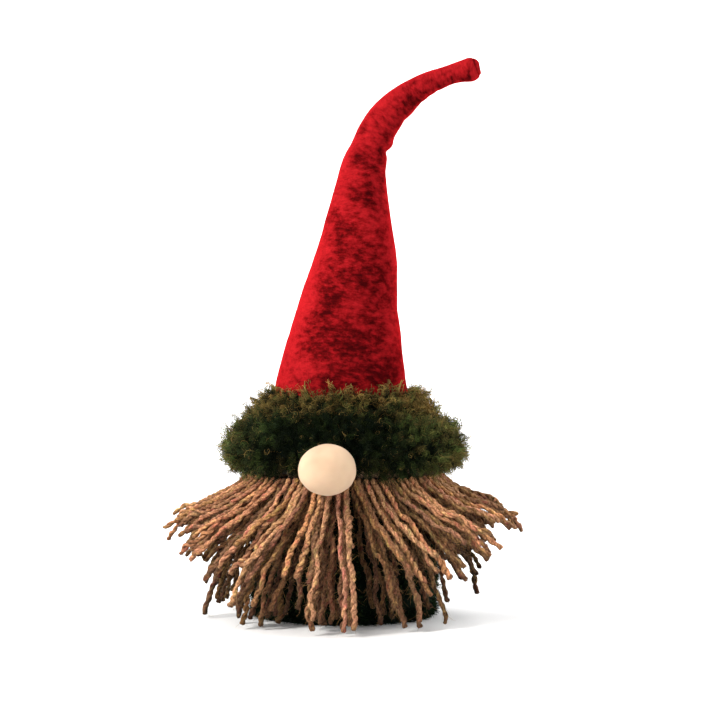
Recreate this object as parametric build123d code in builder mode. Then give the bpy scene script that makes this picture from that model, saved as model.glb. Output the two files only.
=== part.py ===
from build123d import *
import math
import os
import random

# A tomte gnome figurine: a weighted plush bag with a yarn beard, a ball nose, a curly pile brim and a
# tall felt hat over a bent wire.  Millimetres, +Z up, origin at the middle of the flat underside,
# front towards -Y, the hat's tip bends towards +X.

os.makedirs("parts", exist_ok=True)

# ---------------------------------------------------------------- driving dimensions
# base and body bag
BASE_R = 43.0            # felt disc under the bag
BASE_T = 2.0
CARD_R = 40.0            # stiffening card inside the bag
CARD_T = 1.5
BAG_WALL = 2.0
GAP = 0.2                # between two soft pieces of the same body
NECK_Z = 107.0
BAG_PROFILE = [          # radius, height of the bag's outside
    (43.0, 2.0), (46.0, 8.0), (47.2, 18.0), (46.8, 32.0), (44.0, 48.0), (40.4, 61.0), (38.6, 70.0),
    (38.2, 80.0), (32.0, 92.0), (20.0, 101.0), (10.5, 106.0), (10.0, 108.0), (14.0, 114.0),
]
POUCH_FOOT_R = 37.0
POUCH_PROFILE = [(42.6, 12.0), (44.2, 20.0), (41.0, 28.0), (30.0, 32.4), (0, 34.0)]
FILLING_UNDERSIDE = [(0, 34.6), (30.0, 33.2), (41.6, 35.0)]
FILLING_PROFILE = [
    (42.6, 40.0), (40.4, 52.0), (36.0, 66.0), (35.4, 79.0), (29.0, 90.0), (17.4, 98.0), (7.2, 103.6),
]
TIE_R = 11.2             # cord round the gathered neck
TIE_D = 2.0

# beard header
APOTHEM = 46.0           # from the axis to the straight stretches of the header cord
HEADER_Z = 74.0
HEADER_CORD_D = 2.0
KNOT_D = 5.2             # the strands' wrapped ends round the header cord
KNOT_LENGTH = 12.4
TAPE_R = 39.2
TAPE_T = 1.8
TAPE_HEIGHT = 10.0

# beard strands, in locks over the front and the sides
LOCKS_EACH_SIDE = 5
LOCK_STEP = 20.0         # degrees from lock to lock
STRAND_D = 2.8
STRANDS_PER_LAYER = 4
STRAND_PITCH = 4.4       # degrees between neighbours of one layer
LAYER_SHIFT = [-1.3, 0.0, 1.3]
LAYER_ROOT = [(43.0, 71.1), (46.2, 70.6), (49.4, 71.1)]
RUNS = [7.0, 11.0, 13.0, 13.0, 12.0, 11.0, 9.0]   # from point to point of a strand's route
FRONT_SLOPES = [          # degrees below level on each run, layer by layer, under the nose
    [84, 79, 75, 75, 78, 80, 82], [80, 69, 63, 65, 71, 75, 78], [76, 60, 53, 56, 65, 72, 76],
]
SIDE_SLOPES = [           # the same at the sides, where the beard stands out
    [80, 68, 60, 62, 70, 76, 80], [66, 50, 43, 48, 58, 66, 72], [52, 29, 20, 28, 45, 58, 66],
]
SWEEP = [9.0, 17.0, 25.0]            # most that a layer's tips turn towards the sides, degrees
SWEEP_ANGLE = 36.0                   # angle from the front at which they turn the most
SPREAD = [0.0, 0.12, 0.3, 0.52, 0.74, 0.9, 1.0, 1.0]   # share of the turn reached at each point
ACROSS = [0.0, 0.3, 0.5, 0.6, 0.6, 0.6, 0.6]   # waviness across the route at each point
FLOOR_CLEARANCE = 2.6    # lowest a strand's centreline comes
RIGHT_RAISED = 7.0       # the right side ends higher by this much
REACH_FRONT = [71.0, 77.0, 83.0]     # furthest out a layer comes at the front and at the sides
REACH_SIDE = [72.0, 81.0, 92.5]

# nose
NOSE_Y = -64.6
NOSE_Z = 76.7
NOSE_R = 14.0
NOSE_HEIGHT = 25.0
THREAD_Z = 80.5
THREAD_D = 1.4
THREAD_CLEARANCE = 0.2
HOLE_Y = -30.0           # inner end of the thread's hole through the hat and the brim
HOLE_LENGTH = 40.0
NOSE_CLEARANCE = 0.7     # from the ball to the pile it presses into
BUTTON_Y = -42.3
BUTTON_R = 3.0
BUTTON_T = 1.0

# brim: radius, height of the sections
BACKING_SECTION = [
    (49.0, 77.2), (50.6, 77.2), (48.5, 86.0), (44.8, 96.0), (40.5, 106.0), (39.6, 108.5), (38.0, 108.5),
    (38.9, 106.0), (43.2, 96.0), (46.9, 86.0),
]
BRIM_PROFILE = [
    (50.9, 74.4), (56.0, 73.6), (60.4, 76.4), (62.2, 82.0), (62.0, 88.0), (59.4, 94.4), (54.4, 100.4),
    (48.4, 106.0), (42.2, 111.2), (36.6, 113.0),
]
BRIM_INSIDE = [(37.2, 110.4), (39.9, 109.4), (40.9, 106.4), (45.1, 96.2), (48.8, 86.2), (50.9, 77.4)]

# hat: x, z, outer radius, lean of the section from level in degrees
FELT = 2.4
HAT_LOWER = [
    (-1.0, 78.0, 47.2, 0.0), (-1.0, 86.0, 44.6, 0.0), (-1.0, 96.0, 40.2, 0.0), (-1.1, 106.0, 36.0, 0.0),
    (-1.0, 116.0, 33.4, 3.0), (0.2, 131.0, 30.7, 6.0), (1.6, 144.2, 27.9, 7.0),
]
HAT_MIDDLE = [
    (2.9, 155.4, 25.4, 7.5), (4.8, 167.0, 23.2, 7.5), (6.6, 181.4, 20.6, 6.0), (7.6, 197.6, 17.0, 5.0),
    (8.9, 213.9, 13.7, 6.5), (10.2, 226.4, 11.4, 12.0),
]
HAT_TIP = [
    (12.8, 234.4, 10.0, 22.0), (16.4, 243.6, 9.3, 30.0), (22.4, 252.4, 9.0, 41.0),
    (31.0, 260.6, 7.7, 50.0), (41.6, 267.6, 6.0, 62.0), (53.4, 272.2, 5.2, 73.0),
    (61.4, 274.2, 5.6, 78.0), (66.6, 275.2, 5.2, 80.0), (69.2, 275.6, 3.4, 80.0),
]
LOWER_FOLD = [(1.64, 144.5, 27.8, 7.0), (2.25, 149.8, 26.7, 7.2), (2.86, 155.1, 25.5, 7.5)]
UPPER_FOLD = [(10.28, 226.7, 11.3, 12.4), (11.4, 230.4, 10.7, 17.0), (12.66, 234.1, 10.05, 21.6)]
FILLING_FLOOR = 119.0    # the lower filling starts above the wire's foot
FILLING_GAP = 0.4        # between the felt and the filling
TIP_FELT = 2.0
SEAM_D = 0.9
SEAM_OFF = 0.8           # from the felt to the seam thread
STITCH_RING_R = 1.9      # thread that gathers the end of the tip
STITCH_RING_D = 1.2
STITCH_RISE = 0.9
LOWER_BEND = (2.2, 149.8)
UPPER_BEND = (11.4, 230.4)
WIRE_D = 2.0
KNUCKLE_D = 3.2          # twisted turn of the wire at each bend
KNUCKLE_LENGTH = 6.0
WIRE_FOOT = (-1.0, 116.6)
WIRE_END = (58.0, 273.4)
WIRE_CLEARANCE = 0.4     # round the wire in the filling, and between its stretches at a bend
WIRE_HOLE_LENGTH = 90.0
FOOT_RING_R = 15.0


# ---------------------------------------------------------------- helpers
def section(x, z, lean):
    """Plane across the hat at (x, z), leaning towards +X by lean degrees."""
    angle = math.radians(lean)
    return Plane(origin=(x, 0, z), x_dir=(0, 1, 0), z_dir=(math.sin(angle), 0, math.cos(angle)))


def felt_stretch(stations, wall):
    """Hollow stretch of the hat: a loft through round sections, open at both ends."""
    with BuildPart() as stretch:
        for x, z, radius, lean in stations:
            with BuildSketch(section(x, z, lean)):
                Circle(radius)
        loft()
        for x, z, radius, lean in stations:
            with BuildSketch(section(x, z, lean)):
                Circle(radius - wall)
        loft(mode=Mode.SUBTRACT)
    return stretch.part


def solid_stretch(stations):
    """Solid loft through round sections."""
    with BuildPart() as stretch:
        for x, z, radius, lean in stations:
            with BuildSketch(section(x, z, lean)):
                Circle(radius)
        loft()
    return stretch.part


def wire_run(points, radii):
    """Round wire along straight runs joined by tangent arcs."""
    with BuildPart() as run:
        with BuildLine() as path:
            FilletPolyline(*points, radius=radii)
        with BuildSketch(Plane(origin=path.line @ 0, z_dir=path.line % 0)):
            Circle(WIRE_D / 2)
        sweep(path=path.line)
    return run.part


def arc_radii(points, share=0.45):
    """Arc radius at each inner point: share of the shorter run over the tangent of half the turn."""
    vectors = [Vector(*p) for p in points]
    radii = []
    for before, here, after in zip(vectors, vectors[1:], vectors[2:]):
        turn = math.radians((here - before).get_angle(after - here))
        shorter = min((here - before).length, (after - here).length)
        radii.append(share * shorter / math.tan(turn / 2))
    return radii


def polar(radius, degrees, z):
    """Point at a radius and an angle counted from the front (-Y) towards +X."""
    angle = math.radians(degrees)
    return (radius * math.sin(angle), -radius * math.cos(angle), z)


def save(part, name):
    part.label = name
    export_step(part, f"parts/{name}.step")


# ---------------------------------------------------------------- base
with BuildPart() as base_felt:
    with BuildSketch():
        Circle(BASE_R)
    extrude(amount=BASE_T)
    fillet(base_felt.edges().group_by(Axis.Z)[0], radius=0.8)
save(base_felt.part, "base_felt")

with BuildPart() as base_card:
    with BuildSketch(Plane.XY.offset(BASE_T + BAG_WALL + GAP)):
        Circle(CARD_R)
    extrude(amount=CARD_T)
save(base_card.part, "base_card")

# ---------------------------------------------------------------- body bag, gathered at the neck
with BuildPart() as body_bag:
    with BuildSketch(Plane.XZ):
        with BuildLine():
            Polyline((0, BASE_T), BAG_PROFILE[0])
            Spline(*BAG_PROFILE)
            Polyline(BAG_PROFILE[-1], (BAG_PROFILE[-1][0] - BAG_WALL, BAG_PROFILE[-1][1]))
            inside = Spline(*[(r - BAG_WALL, max(z, BASE_T + BAG_WALL)) for r, z in reversed(BAG_PROFILE)])
            Polyline(inside @ 1, (0, BASE_T + BAG_WALL), (0, BASE_T))
        make_face()
    revolve(axis=Axis.Z)
save(body_bag.part, "body_bag")

# grit pouch, flattened by its own weight
POUCH_Z = BASE_T + BAG_WALL + GAP + CARD_T + GAP
with BuildPart() as weight_pouch:
    with BuildSketch(Plane.XZ):
        with BuildLine():
            Polyline((0, POUCH_Z), (POUCH_FOOT_R, POUCH_Z))
            Spline((POUCH_FOOT_R, POUCH_Z), *POUCH_PROFILE)
            Polyline(POUCH_PROFILE[-1], (0, POUCH_Z))
        make_face()
    revolve(axis=Axis.Z)
save(weight_pouch.part, "weight_pouch")

# loose fibre filling above the pouch
with BuildPart() as body_filling:
    with BuildSketch(Plane.XZ):
        with BuildLine():
            Polyline(*FILLING_UNDERSIDE, FILLING_PROFILE[0])
            Spline(*FILLING_PROFILE)
            Polyline(FILLING_PROFILE[-1], (0, FILLING_PROFILE[-1][1]), FILLING_UNDERSIDE[0])
        make_face()
    revolve(axis=Axis.Z)
save(body_filling.part, "body_filling")

# cord tied round the gathered neck
with BuildPart() as neck_tie:
    with BuildSketch(Plane(origin=(TIE_R, 0, NECK_Z), x_dir=(1, 0, 0), z_dir=(0, 1, 0))):
        Circle(TIE_D / 2)
    revolve(axis=Axis.Z)
save(neck_tie.part, "neck_tie")

# ---------------------------------------------------------------- beard header
with BuildPart() as header_tape:
    with BuildSketch(Plane.XY.offset(HEADER_Z - TAPE_HEIGHT / 2 + 1.0)):
        Circle(TAPE_R + TAPE_T)
        Circle(TAPE_R, mode=Mode.SUBTRACT)
    extrude(amount=TAPE_HEIGHT)
save(header_tape.part, "header_tape")

# the header cord runs straight along each lock and turns between them
CORNER_R = APOTHEM / math.cos(math.radians(LOCK_STEP / 2))
CORNER_ANGLES = [LOCK_STEP * (n - LOCKS_EACH_SIDE - 0.5) for n in range(2 * LOCKS_EACH_SIDE + 2)]
with BuildPart() as header_cord:
    with BuildLine() as cord_path:
        corners = [polar(CORNER_R, angle, HEADER_Z) for angle in CORNER_ANGLES]
        FilletPolyline(*corners, radius=8.0)
    with BuildSketch(Plane(origin=cord_path.line @ 0, z_dir=cord_path.line % 0)):
        Circle(HEADER_CORD_D / 2)
    sweep(path=cord_path.line)
save(header_cord.part, "header_cord")

# one short stitch at each corner ties the cord to the tape
with BuildPart() as header_stitches:
    for angle in CORNER_ANGLES:
        inner = polar(TAPE_R + TAPE_T + 0.05, angle, HEADER_Z)
        outer = polar(CORNER_R - 1.35, angle, HEADER_Z)
        direction = Vector(*outer) - Vector(*inner)
        with BuildSketch(Plane(origin=inner, z_dir=direction)):
            Circle(0.5)
        extrude(amount=direction.length)
save(header_stitches.part, "header_stitches")


# ---------------------------------------------------------------- beard
def sideways(angle):
    """Share of the sweep that a strand rooted at an angle takes: none at the front, less at the back."""
    size = abs(angle)
    share = math.sin(math.radians(90.0 * min(size / SWEEP_ANGLE, 1.0)))
    share *= 1.0 - 0.65 * max(0.0, size - SWEEP_ANGLE) / 76.0
    return math.copysign(share, angle)


def strand_route(lock_angle, offset, layer, lift, gather, raised, draw):
    """Route of one strand: from the header cord outwards and down, turning towards the side and
    gathering towards its lock, cut off above the table or at the beard's edge."""
    angle = lock_angle + offset
    flare = 1.0 - math.exp(-((angle / 45.0) ** 2))
    sweep_angle = SWEEP[layer] * sideways(angle)
    end_z = FLOOR_CLEARANCE + raised + 16.0 * draw.random() ** 2
    reach = REACH_FRONT[layer] + (REACH_SIDE[layer] - REACH_FRONT[layer]) * flare
    reach -= 9.0 * draw.random() ** 1.4
    rise = lift + draw.uniform(-2.0, 2.0)
    radius, z = LAYER_ROOT[layer]
    points = [polar(radius, angle, z)]
    for step, length in enumerate(RUNS):
        front, side = FRONT_SLOPES[layer][step], SIDE_SLOPES[layer][step]
        slope = front + (side - front) * flare - rise * min(step, 3) / 3
        slope = math.radians(slope + draw.uniform(-1.0, 1.0) * min(step, 1))
        across = ACROSS[step] * draw.uniform(-1, 1)
        length = min(length, (z - end_z) / math.sin(slope), (reach - radius) / math.cos(slope))
        if length < 5.0:
            break
        radius += length * math.cos(slope)
        z -= length * math.sin(slope)
        share = SPREAD[step + 1]
        turned = lock_angle + offset * (1.0 - gather * share) + sweep_angle * share
        points.append(polar(radius, turned + math.degrees(across / radius), z))
    return points


def lock_routes(number):
    """Routes of the strands of one lock; locks count from 0 at the front, negative to -X."""
    draw = random.Random(1055 + number)
    lift = draw.uniform(-3.0, 4.0) + (6.0 if number >= 3 else 0.0)
    gather = draw.uniform(0.1, 0.35)
    raised = RIGHT_RAISED if number >= 2 else 0.0
    routes = []
    for layer in range(3):
        for place in range(STRANDS_PER_LAYER):
            offset = (place - (STRANDS_PER_LAYER - 1) / 2) * STRAND_PITCH + LAYER_SHIFT[layer]
            routes.append(strand_route(number * LOCK_STEP, offset, layer, lift, gather, raised, draw))
    return routes


def lock_name(number):
    """Name of a lock by its side and its place from the front."""
    if number == 0:
        return "front"
    return f"{'left' if number < 0 else 'right'}_{abs(number)}"


def strand(points, radii):
    """One strand of yarn: a round tube along straight runs and tangent arcs."""
    with BuildPart() as tube:
        with BuildLine() as path:
            FilletPolyline(*points, radius=radii)
        with BuildSketch(Plane(origin=path.line @ 0, z_dir=path.line % 0)):
            Circle(STRAND_D / 2)
        sweep(path=path.line)
    return tube.part, sum(edge.length for edge in path.edges())


worst_volume = 0.0
smallest_radius = 1e9
for number in range(-LOCKS_EACH_SIDE, LOCKS_EACH_SIDE + 1):
    name = lock_name(number)
    tubes = []
    for points in lock_routes(number):
        radii = arc_radii(points)
        tube, length = strand(points, radii)
        ideal = math.pi * (STRAND_D / 2) ** 2 * length
        worst_volume = max(worst_volume, abs(tube.volume / ideal - 1))
        smallest_radius = min(smallest_radius, *radii)
        tubes.append(tube)
    print("lock", name, "last strand's arc radii", [round(r, 1) for r in radii], "length", round(length, 1))
    save(Compound(children=tubes), f"beard_lock_{name}")

    # the strands' ends wrapped round the header cord
    turn = math.radians(number * LOCK_STEP)
    along = (math.cos(turn), math.sin(turn), 0)
    middle = Vector(*polar(APOTHEM, number * LOCK_STEP, HEADER_Z))
    with BuildPart() as knot:
        with BuildSketch(Plane(origin=middle - Vector(*along) * (KNOT_LENGTH / 2), z_dir=along)):
            Circle(KNOT_D / 2)
            Circle(HEADER_CORD_D / 2 + 0.25, mode=Mode.SUBTRACT)
        extrude(amount=KNOT_LENGTH)
    save(knot.part, f"beard_knot_{name}")
print("smallest arc radius", round(smallest_radius, 1), "worst volume error", round(worst_volume, 5))

# ---------------------------------------------------------------- hat shells
lower_felt = felt_stretch(HAT_LOWER, FELT)
with BuildPart() as hat_lower:
    add(lower_felt)
    with BuildSketch(Plane(origin=(0, HOLE_Y, THREAD_Z), z_dir=(0, -1, 0))):
        Circle(THREAD_D / 2 + THREAD_CLEARANCE)
    extrude(amount=HOLE_LENGTH, mode=Mode.SUBTRACT)
save(hat_lower.part, "hat_lower")
save(felt_stretch(HAT_MIDDLE, FELT), "hat_middle")

# the tip is open towards the wire's bend and sewn shut at its end
with BuildPart() as hat_tip:
    add(solid_stretch(HAT_TIP))
    add(solid_stretch([(x, z, r - TIP_FELT, lean) for x, z, r, lean in HAT_TIP[:7]]), mode=Mode.SUBTRACT)
save(hat_tip.part, "hat_tip")

# soft folds of the felt where the wire bends
save(felt_stretch(LOWER_FOLD, FELT), "hat_fold_lower")
save(felt_stretch(UPPER_FOLD, FELT), "hat_fold_upper")

# thread ring that gathers the end of the tip
end_x, end_z, end_lean = HAT_TIP[-1][0], HAT_TIP[-1][1], math.radians(HAT_TIP[-1][3])
ring_axis = Axis((end_x, 0, end_z), (math.sin(end_lean), 0, math.cos(end_lean)))
with BuildPart() as tip_stitch:
    ring_plane = Plane(
        origin=(end_x + STITCH_RISE * math.sin(end_lean), 0, end_z + STITCH_RISE * math.cos(end_lean)),
        x_dir=(0, 1, 0),
        z_dir=(-math.cos(end_lean), 0, math.sin(end_lean)),
    )
    with BuildSketch(ring_plane):
        with Locations((STITCH_RING_R, 0)):
            Circle(STITCH_RING_D / 2)
    revolve(axis=ring_axis)
save(tip_stitch.part, "tip_stitch")

# seam thread down the back of the hat
for name, stations in (("hat_seam_lower", HAT_LOWER[4:]), ("hat_seam_middle", HAT_MIDDLE)):
    points = [(x, r + SEAM_D / 2 + SEAM_OFF, z) for x, z, r, lean in stations]
    with BuildPart() as seam:
        with BuildLine() as path:
            FilletPolyline(*points, radius=arc_radii(points))
        with BuildSketch(Plane(origin=path.line @ 0, z_dir=path.line % 0)):
            Circle(SEAM_D / 2)
        sweep(path=path.line)
    save(seam.part, name)

# ---------------------------------------------------------------- hat wire and filling
lower_x, lower_z = LOWER_BEND
upper_x, upper_z = UPPER_BEND
foot = (WIRE_FOOT[0], 0, WIRE_FOOT[1])
lower_pivot = (lower_x, 0, lower_z)
upper_pivot = (upper_x, 0, upper_z)
along_lower = (Vector(*lower_pivot) - Vector(*foot)).normalized()

# the wire stands on a ring of itself, and a turn of it makes each bend
with BuildPart() as hat_wire_lower:
    with BuildSketch(Plane(origin=(-FOOT_RING_R, 0, WIRE_FOOT[1]), x_dir=(1, 0, 0), z_dir=(0, 1, 0))):
        Circle(WIRE_D / 2)
    revolve(axis=Axis.Z)
    with BuildSketch(Plane(origin=foot, z_dir=(1, 0, 0))):
        Circle(WIRE_D / 2)
    extrude(amount=FOOT_RING_R - WIRE_FOOT[0])
    with BuildSketch(Plane(origin=foot, z_dir=along_lower)):
        Circle(WIRE_D / 2)
    extrude(amount=(Vector(*lower_pivot) - Vector(*foot)).length)
    with Locations(foot):
        Sphere(WIRE_D / 2)
    with BuildSketch(Plane.XZ.offset(-KNUCKLE_LENGTH / 2)):
        with Locations((lower_x, lower_z)):
            Circle(KNUCKLE_D / 2)
    extrude(amount=KNUCKLE_LENGTH)
save(hat_wire_lower.part, "hat_wire_lower")

along_middle = (Vector(*upper_pivot) - Vector(*lower_pivot)).normalized()
middle_start = Vector(*lower_pivot) + along_middle * (KNUCKLE_D / 2 + WIRE_CLEARANCE)
with BuildPart() as hat_wire_middle:
    with BuildSketch(Plane(origin=middle_start, z_dir=along_middle)):
        Circle(WIRE_D / 2)
    extrude(amount=(Vector(*upper_pivot) - middle_start).length)
    with BuildSketch(Plane.XZ.offset(-KNUCKLE_LENGTH / 2)):
        with Locations((upper_x, upper_z)):
            Circle(KNUCKLE_D / 2)
    extrude(amount=KNUCKLE_LENGTH)
save(hat_wire_middle.part, "hat_wire_middle")

tip_points = [(x, 0, z) for x, z, r, lean in HAT_TIP[1:6]] + [(WIRE_END[0], 0, WIRE_END[1])]
into_tip = (Vector(*tip_points[0]) - Vector(*upper_pivot)).normalized()
tip_start = Vector(*upper_pivot) + into_tip * (KNUCKLE_D / 2 + WIRE_CLEARANCE)
tip_route = [(tip_start.X, 0, tip_start.Z)] + tip_points
save(wire_run(tip_route, arc_radii(tip_route)), "hat_wire_tip")

# fibre filling with a channel for the wire
with BuildPart() as hat_filling_lower:
    add(solid_stretch([(x, z, r - FELT - FILLING_GAP, lean) for x, z, r, lean in HAT_LOWER]))
    split(bisect_by=Plane.XY.offset(FILLING_FLOOR), keep=Keep.TOP)
    with BuildSketch(Plane(origin=foot, z_dir=along_lower)):
        Circle(WIRE_D / 2 + WIRE_CLEARANCE)
    extrude(amount=WIRE_HOLE_LENGTH, mode=Mode.SUBTRACT)
save(hat_filling_lower.part, "hat_filling_lower")
with BuildPart() as hat_filling_middle:
    add(solid_stretch([(x, z, r - FELT - FILLING_GAP, lean) for x, z, r, lean in HAT_MIDDLE]))
    with BuildSketch(Plane(origin=lower_pivot, z_dir=along_middle)):
        Circle(WIRE_D / 2 + WIRE_CLEARANCE)
    extrude(amount=WIRE_HOLE_LENGTH, mode=Mode.SUBTRACT)
save(hat_filling_middle.part, "hat_filling_middle")

# ---------------------------------------------------------------- brim
with BuildPart() as brim_backing:
    with BuildSketch(Plane.XZ):
        Polygon(*BACKING_SECTION, align=None)
    revolve(axis=Axis.Z)
    with BuildSketch(Plane(origin=(0, HOLE_Y, THREAD_Z), z_dir=(0, -1, 0))):
        Circle(THREAD_D / 2 + THREAD_CLEARANCE)
    extrude(amount=HOLE_LENGTH, mode=Mode.SUBTRACT)
save(brim_backing.part, "brim_backing")


def nose_solid(growth):
    """Ball of the nose, grown evenly by growth."""
    with BuildPart() as ball:
        with BuildSketch(Plane(origin=(0, NOSE_Y, NOSE_Z), x_dir=(1, 0, 0), z_dir=(0, -1, 0))):
            Ellipse(NOSE_R + growth, NOSE_HEIGHT / 2 + growth)
            Rectangle(
                2 * NOSE_R, 2 * NOSE_HEIGHT, align=(Align.MIN, Align.CENTER), mode=Mode.INTERSECT
            )
        revolve(axis=Axis((0, NOSE_Y, NOSE_Z), (0, 0, 1)))
    return ball.part


with BuildPart() as brim_pile:
    with BuildSketch(Plane.XZ):
        Polygon(*(BRIM_PROFILE + BRIM_INSIDE), align=None)
    revolve(axis=Axis.Z)
    add(nose_solid(NOSE_CLEARANCE), mode=Mode.SUBTRACT)
    with BuildSketch(Plane(origin=(0, HOLE_Y, THREAD_Z), z_dir=(0, -1, 0))):
        Circle(THREAD_D / 2 + THREAD_CLEARANCE)
    extrude(amount=HOLE_LENGTH, mode=Mode.SUBTRACT)
save(brim_pile.part, "brim_pile")

# ---------------------------------------------------------------- nose, sewn on through the hat
with BuildPart() as nose:
    add(nose_solid(0.0))
    with BuildSketch(Plane(origin=(0, NOSE_Y, THREAD_Z), z_dir=(0, 1, 0))):
        Circle(THREAD_D / 2 + THREAD_CLEARANCE / 2)
    extrude(amount=HOLE_LENGTH, mode=Mode.SUBTRACT)
save(nose.part, "nose")

with BuildPart() as nose_thread:
    with BuildSketch(Plane(origin=(0, NOSE_Y + 0.3, THREAD_Z), z_dir=(0, 1, 0))):
        Circle(THREAD_D / 2)
    extrude(amount=-NOSE_Y - 0.3 + BUTTON_Y)
save(nose_thread.part, "nose_thread")

with BuildPart() as nose_button:
    with BuildSketch(Plane(origin=(0, BUTTON_Y + 0.05, THREAD_Z), z_dir=(0, 1, 0))):
        Circle(BUTTON_R)
    extrude(amount=BUTTON_T)
save(nose_button.part, "nose_button")
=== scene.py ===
import bpy
import math
import random
import numpy as np
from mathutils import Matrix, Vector


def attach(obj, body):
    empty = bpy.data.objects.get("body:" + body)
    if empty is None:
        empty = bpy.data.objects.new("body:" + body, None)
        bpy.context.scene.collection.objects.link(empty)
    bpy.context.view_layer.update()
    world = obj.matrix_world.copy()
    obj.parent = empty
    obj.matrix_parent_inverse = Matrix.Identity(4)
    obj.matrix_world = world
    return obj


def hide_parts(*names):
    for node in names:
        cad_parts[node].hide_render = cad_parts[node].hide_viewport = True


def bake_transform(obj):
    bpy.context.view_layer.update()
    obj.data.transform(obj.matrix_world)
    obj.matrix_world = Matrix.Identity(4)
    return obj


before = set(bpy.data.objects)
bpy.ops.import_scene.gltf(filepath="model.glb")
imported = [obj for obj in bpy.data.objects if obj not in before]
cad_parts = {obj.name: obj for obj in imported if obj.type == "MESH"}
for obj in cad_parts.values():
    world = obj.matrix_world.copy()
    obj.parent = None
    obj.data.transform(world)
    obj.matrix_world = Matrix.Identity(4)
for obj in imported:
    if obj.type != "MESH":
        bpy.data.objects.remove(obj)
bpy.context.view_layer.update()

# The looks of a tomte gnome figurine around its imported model: felt hat, curly pile brim, ball nose,
# yarn beard and plush bag.  +Z is up and the front faces -Y.  Meshes are in metres; lengths below are
# in millimetres, and MM turns them into metres.

MM = 0.001
FULL_TURN = 2 * math.pi
UP = np.array([0, 0, 1.0])
# starts the normals of every tube and strand, so the order in which they are made matters
rng = np.random.default_rng(23)


# ================================================================ meshes from arrays
NO_TRIS = np.zeros((0, 3), int)


def mesh_piece(name, verts, quads, tris, material):
    """A smooth mesh object from vertex and face arrays."""
    mesh = bpy.data.meshes.new(name)
    loops = np.concatenate([quads.ravel(), tris.ravel()]).astype(np.int32)
    starts = np.concatenate([np.arange(len(quads)) * 4, len(quads) * 4 + np.arange(len(tris)) * 3])
    mesh.vertices.add(len(verts))
    mesh.vertices.foreach_set("co", np.asarray(verts, np.float32).ravel())
    mesh.loops.add(len(loops))
    mesh.loops.foreach_set("vertex_index", loops)
    mesh.polygons.add(len(starts))
    mesh.polygons.foreach_set("loop_start", starts.astype(np.int32))
    mesh.update(calc_edges=True)
    mesh.polygons.foreach_set("use_smooth", np.full(len(starts), True))
    mesh.materials.append(material)
    obj = bpy.data.objects.new(name, mesh)
    bpy.context.scene.collection.objects.link(obj)
    return obj


def paint_tint(obj, rgb):
    """The tint attribute: a colour (N, 3) on the vertices."""
    rgba = np.concatenate([rgb, np.ones((len(rgb), 1))], 1).astype(np.float32)
    attribute = obj.data.attributes.new("tint", "FLOAT_COLOR", "POINT")
    attribute.data.foreach_set("color", rgba.ravel())


def paint_vector(obj, name, vectors):
    """A vector attribute (N, 3) on the vertices."""
    attribute = obj.data.attributes.new(name, "FLOAT_VECTOR", "POINT")
    attribute.data.foreach_set("vector", np.asarray(vectors, np.float32).ravel())


def unit(v):
    return v / np.maximum(np.linalg.norm(v, axis=-1, keepdims=True), 1e-12)


def smoothstep(low, high, x):
    """0 at low and 1 at high, with a smooth way between."""
    t = np.clip((x - low) / (high - low), 0, 1)
    return t * t * (3 - 2 * t)


def bell(x, width):
    """A smooth bump of height 1 at x = 0."""
    return np.exp(-((x / width) ** 2))


def ring_angles(count):
    return FULL_TURN * np.arange(count) / count


def around(angle, first, second):
    """Directions at angles from first towards second."""
    return np.cos(angle)[..., None] * first + np.sin(angle)[..., None] * second


def stacked(*columns):
    """Columns that are broadcast together and stacked along a new last axis."""
    return np.stack(np.broadcast_arrays(*columns), -1)


def horizontal(angle):
    """Horizontal directions at angles counted from the front (-Y) towards +X."""
    return np.stack([np.sin(angle), -np.cos(angle), 0 * angle], -1)


def frames_along(points):
    """Two normals along polylines (K, n, 3), turning as little as possible."""
    tangent = unit(np.gradient(points, axis=1))
    helper = unit(rng.normal(size=(len(points), 3)))
    current = unit(np.cross(tangent[:, 0], helper))
    normal = np.empty_like(points)
    for i in range(points.shape[1]):
        current = current - (current * tangent[:, i]).sum(-1, keepdims=True) * tangent[:, i]
        current = unit(current)
        normal[:, i] = current
    return normal, np.cross(tangent, normal)


def frame_along(line):
    """Two normals along one polyline (n, 3)."""
    normal, binormal = frames_along(line[None])
    return normal[0], binormal[0]


def grid_faces(rows, columns):
    """Quads of a grid of rows of closed rings."""
    i, j = np.meshgrid(np.arange(rows - 1), np.arange(columns), indexing="ij")
    after = (j + 1) % columns
    return np.stack(
        [i * columns + j, i * columns + after, (i + 1) * columns + after, (i + 1) * columns + j], -1
    ).reshape(-1, 4)


def fan(hub, first, columns):
    """Triangles from vertex hub to the closed ring that starts at vertex first."""
    k = np.arange(columns)
    return np.stack([np.full(columns, hub), first + k, first + (k + 1) % columns], -1)


def closed_faces(rows, columns):
    """Quads and triangles of a closed tube: its rings, then a hub for the first and one for the last."""
    hub = rows * columns
    ends = [fan(hub, 0, columns)[:, [0, 2, 1]], fan(hub + 1, hub - columns, columns)]
    return grid_faces(rows, columns), np.concatenate(ends)


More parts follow.
